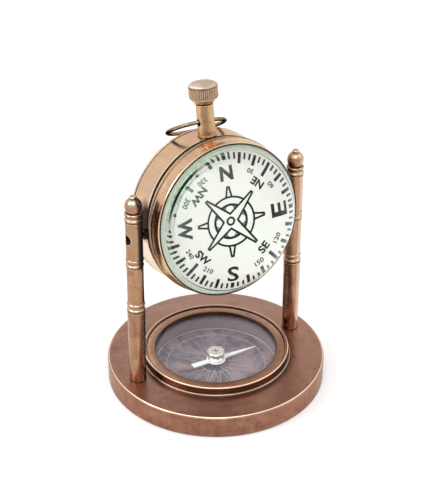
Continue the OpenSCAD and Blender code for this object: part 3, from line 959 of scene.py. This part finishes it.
def dial_rose(ink, line=0.26):
    """Sixteen-point rose, rings and ticks in fine lines."""
    for radius in (INNER_RING, SCALE_RING):
        ink.ring(radius, line)
    for angle, tip in dial_points():
        roots = [polar(POINT_ROOT, angle + side * POINT_STEP / 2) for side in (-1, 1)]
        ink.stroke([roots[0], polar(tip, angle), roots[1]], line)
    for angle in range(0, 360, 10):
        ink.stroke([polar(SCALE_RING, angle), polar(SCALE_END, angle)], line)


def dial_shade(ink):
    """Dark halves of the rose's points."""
    for angle, tip in dial_points():
        root = polar(POINT_ROOT, angle + POINT_STEP / 2)
        ink.polygon([polar(SHADE_ROOT, angle), polar(tip, angle), root])


def dial_rim(ink):
    """Line along the dial's edge."""
    inset, line = 0.75, 0.4
    ink.ring(DIAL_EDGE / MM - inset, line)


def hub_mark(ink):
    """Cross on the needle's hub."""
    reach, line = 1.1, 0.3
    for angle in (20, 110):
        ink.stroke([polar(reach, angle), polar(reach, angle + 180)], line)


# Where the print lies

INK_GAP = 0.02 * MM
IN_CARD = IN_DRUM @ Matrix.Rotation(math.radians(-2.65), 4, "Z")
CARD_TOP = span_in(IN_DRUM, "compass_card")[1]
HUB_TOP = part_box("needle_hub")[1].z


def raised(top, layer):
    """Plane of a layer of ink, counted up from a top."""
    return Matrix.Translation((0, 0, top + layer * INK_GAP))


def print_all():
    """Lays every print on its body."""
    black = paper("ink_black", srgb(6, 5, 6), srgb(18, 16, 18), 0.6, grain=0.05, shine=0.05)
    grey = paper("ink_grey", srgb(128, 128, 126), srgb(104, 104, 104), 0.5, grain=0.05)
    pale = paper("ink_pale", srgb(206, 192, 192), srgb(150, 134, 140), 0.5, grain=0.05)
    plum = paper("ink_plum", srgb(66, 48, 66), srgb(98, 80, 94), 0.5, grain=0.05)
    silver = paper("ink_silver", srgb(224, 214, 214), srgb(172, 160, 166), 0.5, grain=0.05)
    on_card = [IN_CARD @ raised(CARD_TOP, layer) for layer in (1, 2)]
    on_dial = [raised(DIAL_TOP, layer) for layer in (1, 2)]
    for draw, plane, body, slot, ink in (
            (card_shade, on_card[0], "card", "card_paper", grey),
            (card_scale, on_card[0], "card", "card_paper", black),
            (card_rose, on_card[1], "card", "card_paper", black),
            (dial_rose, on_dial[1], "stand", "dial_print", pale),
            (dial_shade, on_dial[0], "stand", "dial_print", plum),
            (dial_rim, on_dial[0], "stand", "dial_print", silver),
            (hub_mark, raised(HUB_TOP, 1), "needle", "hub_brass", black)):
        sheet = Print(draw.__name__)
        draw(sheet)
        sheet.lay(plane, body, ink)


print_all()


# Floor, light and camera

FLOOR_HALF = 3.0
FLOOR_GREY, ROOM_GREY = (0.7, 0.7, 0.7, 1), (0.85, 0.85, 0.85, 1)
FLOOR_GLOW = 0.3


def floor():
    """Wide pale floor. Camera, glossy and transmitted rays see it white, less the shadow."""
    s = Shader("floor_white")
    path = s.add("LightPath").outputs
    seen = s.math("MAXIMUM", path["Is Camera Ray"], path["Is Glossy Ray"])
    seen = s.math("MAXIMUM", seen, path["Is Transmission Ray"])
    lit = s.add("BsdfDiffuse", {"Color": FLOOR_GREY}).outputs[0]
    glow = {"Color": (1, 1, 1, 1), "Strength": s.math("MULTIPLY", seen, FLOOR_GLOW)}
    glow = s.add("Emission", glow).outputs[0]
    corners = [(x * FLOOR_HALF, y * FLOOR_HALF, 0) for x, y in ((-1, -1), (1, -1), (1, 1), (-1, 1))]
    mesh = bpy.data.meshes.new("floor")
    mesh.from_pydata(corners, [], [(0, 1, 2, 3)])
    mesh.materials.append(s.show(s.add("AddShader", {0: lit, 1: glow}).outputs[0]))
    piece = bpy.data.objects.new("floor", mesh)
    bpy.context.scene.collection.objects.link(piece)


def world():
    """Even pale room."""
    room = bpy.data.worlds.new("room")
    room.use_nodes = True
    background = room.node_tree.nodes["Background"].inputs
    background["Color"].default_value = ROOM_GREY
    background["Strength"].default_value = 1.0
    bpy.context.scene.world = room


def bearing(azimuth, elevation):
    """Direction from the object, by radians from -Y towards +X and radians up."""
    level = math.cos(elevation)
    return Vector((math.sin(azimuth) * level, -math.cos(azimuth) * level, math.sin(elevation)))


def lamp(name, azimuth, elevation, size, power):
    """Square softbox, by its direction from the object in degrees."""
    aim, distance = Vector((0, 0, 0.05)), 0.9
    way = bearing(math.radians(azimuth), math.radians(elevation))
    light = bpy.data.lights.new(name, "AREA")
    light.shape, light.size, light.energy = "SQUARE", size, power
    piece = bpy.data.objects.new(name, light)
    piece.location = aim + distance * way
    piece.rotation_euler = (-way).to_track_quat("-Z", "Y").to_euler()
    bpy.context.scene.collection.objects.link(piece)


def camera():
    """Camera of the photograph: where it stands round the object, and its lens."""
    azimuth, elevation, roll = math.radians(-31.179), math.radians(31.783), math.radians(0.399)
    distance, aim_height, aim_right = 498.161 * MM, 49.672 * MM, 2.238 * MM
    focal_pixels, image_height = 1492.483, 500
    back = bearing(azimuth, elevation)
    right = Vector((math.cos(azimuth), math.sin(azimuth), 0))
    up = back.cross(right)
    aim = Vector((0, 0, aim_height)) + aim_right * right
    turned_right = math.cos(roll) * right + math.sin(roll) * up
    turned_up = math.cos(roll) * up - math.sin(roll) * right
    data = bpy.data.cameras.new("camera")
    data.lens = focal_pixels / image_height * data.sensor_width
    data.clip_start, data.clip_end = 0.01, 20
    piece = bpy.data.objects.new("camera", data)
    piece.matrix_world = axes(aim + distance * back, turned_right, turned_up, back)
    bpy.context.scene.collection.objects.link(piece)
    bpy.context.scene.camera = piece


floor()
world()
lamp("front_box", azimuth=-31, elevation=58, size=0.45, power=2.35)
lamp("left_box", azimuth=-100, elevation=42, size=0.4, power=2.4)
lamp("right_box", azimuth=60, elevation=40, size=0.5, power=0.8)
camera()
bpy.context.scene.view_settings.view_transform = "Standard"
